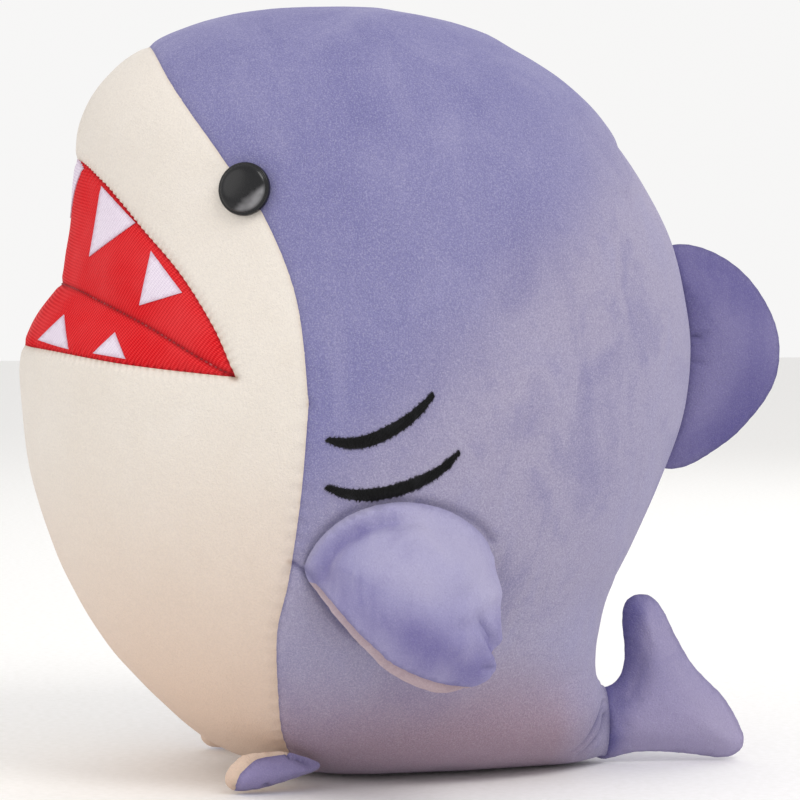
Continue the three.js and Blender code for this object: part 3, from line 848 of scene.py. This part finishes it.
def gill(name, line, side, node):
    """A bar of satin stitch: threads laid side by side across a curved line."""
    curve = smooth(line, 12)
    total = lengths(curve)[-1]
    marks = np.arange(0, total, THREAD_PITCH / 2)
    middle = at_marks(marks, curve)
    ahead = np.gradient(middle, axis=0)
    ahead /= np.linalg.norm(ahead, axis=1)[:, None]
    across = np.stack([-ahead[:, 1], ahead[:, 0]], axis=1)
    part = marks / total
    half = 0.85 + 2.1 * np.clip(np.sin(np.pi * part**0.85), 0, 1) ** 0.6
    rows = np.linspace(-1, 1, 9)
    places, normals = [], []
    for k, t in enumerate(marks):
        is_thread = k % 2 == 0
        reach = half[k] + (rng.uniform(-0.4, 0.7) if is_thread else -0.35)
        for s in rows:
            y, z = middle[k] + across[k] * s * reach + ahead[k] * s * 0.5
            hit, normal = flank(y, z, side)
            height = THREAD_HEIGHT * math.sqrt(max(1 - s * s * 0.92, 0))
            height -= 0 if is_thread else 0.42
            places.append(np.array(hit) + np.array(normal) * height)
            normals.append(np.array(normal))
    n = len(rows)
    a = (np.arange(len(marks) - 1)[:, None] * n + np.arange(n - 1)).ravel()
    quads = np.stack([a, a + n, a + n + 1, a + 1], axis=1)[:, :: -side]
    faces = np.concatenate([quads[:, [0, 1, 2]], quads[:, [0, 2, 3]]])
    both, sheet = with_thickness(np.array(places), faces, np.array(normals), THREAD_DEPTH)
    finish_piece(make_mesh(name, both, sheet, BLACK_THREAD, sharp=80), "black_thread", node)


for name, line in GILLS.items():
    gill(f"{name}_l", line, 1, f"{name}_left")
    gill(f"{name}_r", line, -1, f"{name}_right")


def lathe(profile, segments=96):
    """A closed turned solid from (radius, height) pairs, the first and last on the axis."""
    points3, faces = [(0, 0, profile[0][1])], []
    rows = profile[1:-1]
    for r, h in rows:
        points3 += [(r * math.cos(a), r * math.sin(a), h)
                    for a in np.linspace(0, math.tau, segments, endpoint=False)]
    points3.append((0, 0, profile[-1][1]))
    end = len(points3) - 1
    for k in range(segments):
        j = (k + 1) % segments
        faces.append((0, 1 + k, 1 + j))
        faces.append((end, end - segments + j, end - segments + k))
        for row in range(len(rows) - 1):
            a, b = 1 + row * segments, 1 + (row + 1) * segments
            faces += [(a + k, b + k, b + j), (a + k, b + j, a + j)]
    return np.array(points3), np.array(faces)


EYE_CENTRE = np.array([99.7, -82.8, 264.1])
EYE_NORMAL = Vector((0.9, -0.42, 0.11)).normalized()
BUTTON = [
    (0, 5.4), (2, 5.37), (4, 5.26), (6, 5.05), (7.8, 4.72), (9, 4.36), (9.8, 3.96), (10.2, 3.55),
    (10.4, 3.2), (10.6, 3.1), (10.85, 3.2), (11.15, 3.0), (11.4, 2.5), (11.5, 1.9), (11.5, 1.0),
    (11.35, 0.4), (10.9, 0.0), (9.5, -0.3), (0, -0.4),
]


def eye(name, side, *nodes):
    """A button eye with a painted reflection, a soft pale crescent, on the lower part of its face.
    """
    points3, faces = lathe(BUTTON)
    turn = np.array(EYE_NORMAL.to_track_quat("Z", "Y").to_matrix())
    spread = points3 @ turn.T
    low = spread @ np.array(Vector((0.1, 0.62, -0.78)).normalized())
    painted_reflection = fade(low, 2.6, 5.2) * fade(np.hypot(points3[:, 0], points3[:, 1]), 10.2, 9.4)
    placed = (spread + EYE_CENTRE) * [side, 1, 1]
    piece = make_mesh(name, placed, faces[:, ::side], EYE_BLACK, {"painted_reflection": painted_reflection}, sharp=70)
    finish_piece(piece, "eye_plastic", *nodes)


eye("eye_button_l", 1, "eye_left", "eye_washer_left")
eye("eye_button_r", -1, "eye_right", "eye_washer_right")


def stitches(name, line, pitch, long, radius, sink):
    """Running stitches that lie along a line of places on the body."""
    places, faces = [], []
    sides, rows = 8, np.array([-1, -0.82, -0.4, 0, 0.4, 0.82, 1])
    for start in np.arange(pitch / 2, lengths(line)[-1] - pitch, pitch):
        before, middle, after = at_marks(start + np.array([-1.2, 0, 1.2]), line)
        ahead = after - before
        ahead /= np.linalg.norm(ahead)
        hit, normal, _, _ = body_tree.find_nearest(Vector(middle))
        up = np.array(normal)
        out = np.cross(ahead, up)
        first = len(places)
        for s in rows:
            size = radius * math.sqrt(max(1 - s * s, 0.02))
            core = np.array(hit) + ahead * s * long / 2 + up * (radius * (0.5 - 0.9 * s * s) - sink)
            for a in np.linspace(0, math.tau, sides, endpoint=False):
                places.append(core + (up * math.sin(a) + out * math.cos(a)) * size)
        for r in range(len(rows) - 1):
            for k in range(sides):
                a, b = first + r * sides + k, first + r * sides + (k + 1) % sides
                faces += [(a, b, b + sides), (a, b + sides, a + sides)]
        last = first + (len(rows) - 1) * sides
        for k in range(1, sides - 1):
            faces += [(first, first + k + 1, first + k), (last, last + k, last + k + 1)]
    return make_mesh(name, np.array(places), np.array(faces), RED_THREAD, sharp=80)


crease_chain, _ = seam_chain("mouth_upper", "mouth_lower")
finish_piece(stitches("mouth_stitching", points[crease_chain], 2.5, 1.7, 0.36, 0.1), "black_thread")


# ------------------------------------------------------------------ stuffed fins
BLOW_UP_FRAMES = 20
STRETCH_KEPT = 0.2  # how much of the cloth's movement in the fin's own plane is kept


def stuff(points3, faces, pressure, cap):
    """Blows a sewn fin up a little as cloth, so that its panels pull and pucker at the seam."""
    mesh = bpy.data.meshes.new("cloth_form")
    mesh.from_pydata((points3 * MM).tolist(), [], faces.tolist())
    form = add_object("cloth_form", mesh)
    cloth = form.modifiers.new("cloth", "CLOTH")
    for key, value in {
        "quality": 5, "mass": 0.1, "tension_stiffness": 25, "compression_stiffness": 25,
        "shear_stiffness": 12, "bending_stiffness": 0.3, "use_pressure": True,
        "uniform_pressure_force": pressure,
    }.items():
        setattr(cloth.settings, key, value)
    cloth.settings.effector_weights.gravity = 0
    cloth.point_cache.frame_end = BLOW_UP_FRAMES + 2
    for frame_number in range(1, BLOW_UP_FRAMES + 1):
        bpy.context.scene.frame_set(frame_number)
    shape = form.evaluated_get(bpy.context.evaluated_depsgraph_get()).to_mesh()
    moved = np.array([v.co for v in shape.vertices]) / MM
    bpy.data.objects.remove(form)
    bpy.context.scene.frame_set(1)
    step = (moved - points3) * [STRETCH_KEPT, STRETCH_KEPT, 1]
    size = np.linalg.norm(step, axis=1)
    return points3 + step * (np.minimum(size, cap) / np.maximum(size, 1e-9))[:, None]


RIM_HEIGHT, RIM_WIDTH = 2.4, 3.2


def pillow(outline, half, spacing, seam=None):
    """A sewn pad in its own (u, v, w) axes: a rolled rim, then a domed middle on both sides."""
    ring = ring_of(outline, spacing)
    if seam is not None:
        seam[[0, -1]] = [ring[np.argmin(np.linalg.norm(ring - end, axis=1))]
                         for end in seam[[0, -1]]]
    flat, faces = net(ring, spacing, seam)
    off, _ = to_line(flat, closed(ring))
    off[off < 0.01] = 0
    deep = off.max()
    rim = RIM_HEIGHT * np.sqrt(1 - (1 - np.clip(off / RIM_WIDTH, 0, 1)) ** 2)
    dome = np.sin(math.pi / 2 * np.clip((off - 1.5) / (0.92 * deep - 1.5), 0, 1)) ** 0.9
    height = rim + (half - RIM_HEIGHT) * dome
    inner = np.flatnonzero(off > 0)
    below = np.arange(len(flat))
    below[inner] = len(flat) + np.arange(len(inner))
    points3 = np.vstack([
        np.column_stack([flat, height]), np.column_stack([flat[inner], -height[inner]])
    ])
    top = np.zeros(2 * len(faces), bool)
    top[: len(faces)] = True
    if seam is not None:
        out = [end + 6 * (end - ring.mean(axis=0))
               for end in (seam[-1], seam.mean(axis=0), seam[0])]
        wrapped = np.vstack([seam, out])
        top[: len(faces)] &= ~inside(flat[faces].mean(axis=1), wrapped)
    return points3, np.concatenate([faces, below[faces[:, ::-1]]]), top


def fin(prefix, outline, half, place, look, blend_between, folds=(), dark=(), seam=None, side=1,
        spacing=2.2, cloth=1.2, seed=1):
    """Builds one stuffed fin: its two panels."""
    sewn = None if seam is None else smooth(seam, 6)
    shape, faces, top = pillow(outline, half, spacing, sewn)
    shape = stuff(shape, faces, 3.0, 2.6)
    shape[:, 2] *= half / np.abs(shape[:, 2]).max()
    ring = ring_of(outline, spacing)
    off, along = to_line(shape[:, :2], closed(ring))
    normals = normals_of(shape, faces)
    upper = shape[:, 2] > 0
    pucker = np.cos(along * math.tau / 6.3 + 1.3 * np.sin(along / 11 + seed))
    pucker *= hollow(off - 2.5, 3.2)
    move = 0.14 * pucker + 0.5 * lumps(shape, 30, seed + 40) + 0.07 * lumps(shape, 9, seed + 50)
    move -= 0.35 * hollow(off - 6.5, 2.6)
    shade3 = 0.4 * hollow(off, 0.7)
    if sewn is not None:
        seam_off, _ = to_line(shape[:, :2], sewn)
        move -= upper * (0.8 * hollow(seam_off, 1.4) + 0.3 * hollow(seam_off, 4))
        shade3 = upper * 0.5 * hollow(seam_off, 0.8)
    for line, depth, width in folds:
        fold_off, fold_along = to_line(shape[:, :2], smooth(line, 6))
        end = lengths(np.array(line, float))[-1]
        reach = upper * fade(fold_along, end, 0.55 * end)
        ridge = 0.35 * hollow(fold_off - 2 * width, width)
        move -= depth * reach * (hollow(fold_off, width) - ridge)
        shade3 = np.maximum(shade3, 0.6 * (width < 2) * reach * hollow(fold_off, width * 0.5))
    # Painted shading, partly nap: each mark darkens where its strength is positive and lightens
    # where negative.
    brushed = np.zeros(len(shape))
    for line, width, strength in dark:
        spot_off, _ = to_line(shape[:, :2], np.array(line, float))
        brushed += strength * hollow(spot_off, width)
    shape = place(shape + normals * move[:, None])
    gap = np.array([body_tree.find_nearest(Vector(p))[3] for p in shape])
    shade3 = np.clip(np.maximum(shade3, 0.75 * hollow(gap, 1.5)), 0, 1)
    brushed = np.clip(brushed, -1, 1)
    if sewn is not None:
        middle = shape[faces].mean(axis=1)
        at_arc = to_line(middle[:, 1:], ARC)[0] < 5.5
        top |= at_arc & (place == place_pectoral)
    shape, faces = shape * [side, 1, 1], faces[:, ::side]
    normals = normals_of(shape, faces)
    body_name, start, end = blend_between
    for (name, material, slot, nodes), chosen in zip(look, (top, ~top)):
        used, part = part_of(faces, chosen)
        both, sheet = with_thickness(shape[used], part, normals[used], cloth)
        marks = {"seam_shade": np.tile(shade3[used], 2), "painted_shading_and_nap": np.tile(brushed[used], 2)}
        piece = make_mesh(prefix + name, both, sheet, material, marks)
        finish_piece(piece, slot, *nodes, body=None)
        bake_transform(piece)


def panels(fin_name, first, second, tail=""):
    """A fin's two panels: piece name, material, slot and the nodes that it stands for."""
    (one, look, slot), (two, look2, slot2) = first, second
    return [(one, look, slot, [f"{fin_name}_{one}{tail}", f"{fin_name}_stuffing{tail}"]),
            (two, look2, slot2, [f"{fin_name}_{two}{tail}"])]


PECTORAL = [
    [-58.4, 103.5], [-56, 97], [-53, 91], [-48, 84], [-41, 75], [-34, 68], [-28, 62], [-18, 56],
    [-8, 52], [-2, 51], [6, 52], [13, 54], [18, 57], [20.5, 63], [22, 71], [22.8, 87], [23.8, 99],
    [22.4, 110], [18.2, 116.8], [10.5, 122.9], [1.2, 127.7], [-8, 130.3], [-17, 131.4], [-25, 131],
    [-32.6, 129.4], [-39.4, 126.6], [-45.2, 122.8], [-50.5, 118], [-54.8, 112],
]
PECTORAL_SEAM = [
    [-58.2, 102.4], [-54.8, 97.7], [-51.4, 92], [-46.4, 85.3], [-39.2, 76.8], [-32, 70.1],
    [-25.9, 64.6], [-16.3, 59.6], [-7, 56], [1, 54], [9, 52.6],
]
PECTORAL_FOLDS = [
    ([[22, 67], [18.5, 72.5], [14.4, 80], [11, 89]], 3.4, 2.0),
    ([[20.8, 64], [16, 62], [11, 62.5]], 1.2, 1.3),
    ([[-52, 102], [-50.5, 108], [-47, 113], [-42.5, 117], [-37, 120.4], [-30.5, 122.9],
      [-23.5, 124.4], [-16, 124.6], [-8, 123.2], [0, 120.5]], 3.6, 2.6),
    ([[20, 101], [10, 95], [-4, 91]], 1.3, 3.8),
    ([[18, 87], [8, 80], [-6, 80]], 1.2, 3.4),
]
# Painted shading on the pectoral fin as (line, width, strength): painted shade in the tuck, in the
# valley inside the rim and on the lower middle; painted light on the rim and the upper part where
# strength is negative.
PECTORAL_PAINTED_SHADING = [
    ([[-14, 76], [-4, 69], [8, 62]], 10, 1.0), ([[20, 67], [17, 74]], 1.8, 0.6),
    ([[-52, 100], [-50.5, 107], [-47, 112.5], [-42.5, 116.8], [-37, 120.2]], 3.4, 0.9),
    ([[-37, 120.2], [-30.5, 122.9], [-23.5, 124.4]], 2.8, 0.6), ([[-45, 100], [-30, 84]], 9, 0.3),
    ([[-57.5, 106], [-55, 112.5], [-50.7, 118], [-45.3, 122.6], [-39, 126.4], [-32, 129.2]],
     1.7, -0.9),
    ([[-8, 120], [10, 110], [17, 96]], 12, -0.8), ([[-30, 108], [-10, 98]], 11, -0.5),
]
ARC = smooth(FIN_ARC)


def place_pectoral(p):
    """The fin starts in the seam on the flank and hangs a little away from it."""
    u, v, w = p.T
    down = (133 - v) / 81
    hang = 120.5 - 9 * ((u + 20) / 40) ** 2 * (1 - down) + 11 * np.sin(0.75 * math.pi * down)
    skin = np.array([flank(a, b)[0][0] for a, b in zip(u, v)])
    off, _ = to_line(p[:, :2], ARC)
    root = skin + 1.6
    x = root + (hang - root) * fade(off, 0, 22) + w
    return np.column_stack([np.maximum(x, skin + 0.3), u, v])


PELVIC = [
    [-20.7, -2.7], [-20, 1], [-17.2, 4.8], [-13.8, 7.4], [-9.8, 8.5], [-3.6, 8.8], [1.1, 8.5],
    [8.1, 7.8], [15.3, 5.6], [21.5, 2.9], [23, 0.8], [21.5, -1.2], [15.3, -3.4], [5.9, -6.1],
    [-3.6, -8.2], [-9.8, -8.8], [-13.8, -8.9], [-17, -8], [-19.6, -6],
]
PELVIC_SEAM = [
    [-15.8, -8.6], [-17.2, -5], [-17.3, -1.8], [-16, 1.3], [-13.4, 4], [-10.6, 5.9], [-7.6, 7],
    [-3.6, 7.6], [3, 7.9], [8.5, 7.8],
]
PELVIC_FOLDS = [
    ([[8, 7.4], [12.5, 5.6], [19, 1.6]], 1.3, 1.2), ([[-4, -4.4], [1.5, -7.6]], 1.0, 1.4),
]
PELVIC_TURN = np.array(Matrix.Rotation(math.radians(13), 3, "Z")
                       @ Matrix.Rotation(math.radians(14), 3, "Y"))
PELVIC_CENTRE = [64, -69, 9.8]


def place_pelvic(p):
    return p[:, [2, 0, 1]] @ PELVIC_TURN.T + PELVIC_CENTRE


DORSAL = [
    [116, 237], [112, 228], [112, 213], [112, 200], [112, 188], [112, 173], [112, 157], [113, 146],
    [118, 139], [124, 137.4], [132, 138.6], [141.5, 143], [154, 151], [162.5, 159.4],
    [169.6, 168.6], [174.3, 178], [176.2, 188], [175.7, 198.5], [172.4, 209], [166.4, 219.4],
    [158.4, 228.4], [148.2, 235.4], [137, 239.8], [126.6, 240.8],
]
DORSAL_FOLDS = [
    ([[131, 199], [136, 199.2], [140.5, 201]], 1.5, 1.3),
    ([[131, 186.5], [135, 186.5], [139, 186]], 1.2, 1.2),
]
TAIL = [
    [86, 4], [93, 1.4], [98, 2.3], [108, 4.6], [120.5, 4.6], [133, 3.2], [142, 1.7], [149, 0.8],
    [155.5, 1.9], [160, 5.8], [160.6, 11], [158.6, 16], [155.4, 22.4], [150, 30.6], [143, 37.8],
    [136.5, 45], [131.5, 52.5], [127, 60.2], [123, 68.5], [119, 74.8], [115, 78.2], [110, 79],
    [105.5, 77.6], [102.3, 73.5], [101.6, 66], [102.4, 55], [102, 46], [99.5, 39.6], [95.5, 36.4],
    [90, 34.6], [84.5, 31], [83, 20], [83.5, 9],
]
TAIL_FOLDS = [
    ([[94.5, 28], [99, 22], [103, 13]], 0.5, 2.2), ([[94.5, 34], [99, 30], [106, 27]], 0.6, 2.4),
]
# Painted shading, partly nap, on the dorsal and tail fins as (line, width, strength): darker where
# strength is positive, paler where negative.
DORSAL_PAINTED_SHADING = [([[174, 182], [168, 167], [152, 150]], 11, 1.0), ([[136, 232], [156, 218]], 12, 0.5),
               ([[136, 168], [146, 190], [150, 204]], 11, -0.8)]
TAIL_DARK = [([[107, 78], [103, 66], [103, 50], [100, 38], [95, 26], [93, 10]], 7.5, 1.2),
             ([[120, 60], [132, 36], [150, 14]], 10, -0.7)]


def place_centre(p):
    return p[:, [2, 0, 1]]


for side, word in ((1, "left"), (-1, "right")):
    fin(f"pectoral_{word}_", PECTORAL, 12.5, place_pectoral,
        panels("pectoral_fin", ("top", FIN_PURPLE, "purple_plush"),
               ("underside", PAINTED_SHADE_CREAM, "cream_plush"), f"_{word}"),
        (f"pectoral_fin_{word}", (119, -33, 118), (121, -20.3, 95.3)), PECTORAL_FOLDS,
        PECTORAL_PAINTED_SHADING, PECTORAL_SEAM, side, seed=3)
    fin(f"pelvic_{word}_", PELVIC, 7.6, place_pelvic,
        panels("pelvic_fin", ("top", DEEP_PURPLE, "purple_plush"),
               ("underside", CREAM, "cream_plush"), f"_{word}"),
        (f"pelvic_fin_{word}", (60, -46, 9), (63, -60, 9)), PELVIC_FOLDS, (), PELVIC_SEAM, side,
        spacing=1.3, cloth=0.7, seed=5)

for name, outline, half, look, folds, dark, start, end, seed in (
    ("dorsal", DORSAL, 13, DEEP_PURPLE, DORSAL_FOLDS, DORSAL_PAINTED_SHADING, (0, 131, 190), (0, 148, 190), 7),
    ("tail", TAIL, 12.5, TAIL_PURPLE, TAIL_FOLDS, TAIL_DARK, (0, 97, 20), (0, 116, 20), 9),
):
    fin(f"{name}_", outline, half, place_centre,
        panels(f"{name}_fin", ("left", look, "purple_plush"), ("right", look, "purple_plush")),
        (f"{name}_fin", start, end), folds, dark, seed=seed)


# ------------------------------------------------------------------ stage, light and camera
def backdrop():
    """A plain pale floor."""
    s = Shader("backdrop_paper", roughness=0.9)
    grain = s.noise(s.node("ShaderNodeTexCoord").outputs["Object"], 0.004, 2.0, 0.6)
    colour = s.mix(s.spread(grain, 0.3, 0.7), rgb(250, 249, 248), rgb(244, 243, 241))
    material = s.done(colour, s.bump(grain, 0.05, 0.0005))
    mesh = bpy.data.meshes.new("floor")
    reach = 6.0
    corners = [(-reach, -reach, 0), (reach, -reach, 0), (reach, reach, 0), (-reach, reach, 0)]
    mesh.from_pydata(corners, [], [(0, 1, 2, 3)])
    mesh.materials.append(material)
    add_object("floor", mesh)


def soft_light(name, place, aim, size, power, colour=(1, 1, 1)):
    light = bpy.data.lights.new(name, "AREA")
    light.shape = "DISK"
    light.size = size
    light.energy = power
    light.color = colour
    lamp = add_object(name, light)
    lamp.location = place
    lamp.rotation_euler = (Vector(aim) - Vector(place)).to_track_quat("-Z", "Y").to_euler()


backdrop()
MIDDLE = (0, -0.02, 0.17)
soft_light("window", (1.4, 0.7, 2.0), MIDDLE, 1.1, 18, (1.0, 0.99, 0.97))
soft_light("front_fill", (0.9, -1.8, 1.0), MIDDLE, 1.4, 5, (1.0, 0.98, 0.95))
soft_light("back", (-1.4, 0.9, 1.3), MIDDLE, 1.4, 5)

# A pale sky, brightest near the horizon.
world = bpy.data.worlds.new("daylight")
sky = Nodes(world)
up = sky.xyz(sky.node("ShaderNodeTexCoord").outputs["Generated"])["Z"]
background = sky.tree.nodes["Background"].inputs
sky.link(sky.spread(up, 0.15, 0.6, 0.93, 0.84), background["Strength"])
sky.link((1.0, 0.995, 0.99, 1), background["Color"])
bpy.context.scene.world = world
bpy.context.scene.view_settings.view_transform = "Standard"

AZIMUTH, ELEVATION, DISTANCE = math.radians(82), math.radians(2.5), 1.5
away = Vector((math.sin(AZIMUTH) * math.cos(ELEVATION), -math.cos(AZIMUTH) * math.cos(ELEVATION),
               math.sin(ELEVATION)))
right = Vector((math.cos(AZIMUTH), math.sin(AZIMUTH), 0))
target = Vector((0, 0, 0.1697)) - right * 0.0025
camera_data = bpy.data.cameras.new("camera")
camera_data.lens = 146.7
camera_data.sensor_width = 36
camera = add_object("camera", camera_data)
camera.location = target + away * DISTANCE
camera.rotation_euler = (-away).to_track_quat("-Z", "Y").to_euler()
bpy.context.scene.camera = camera
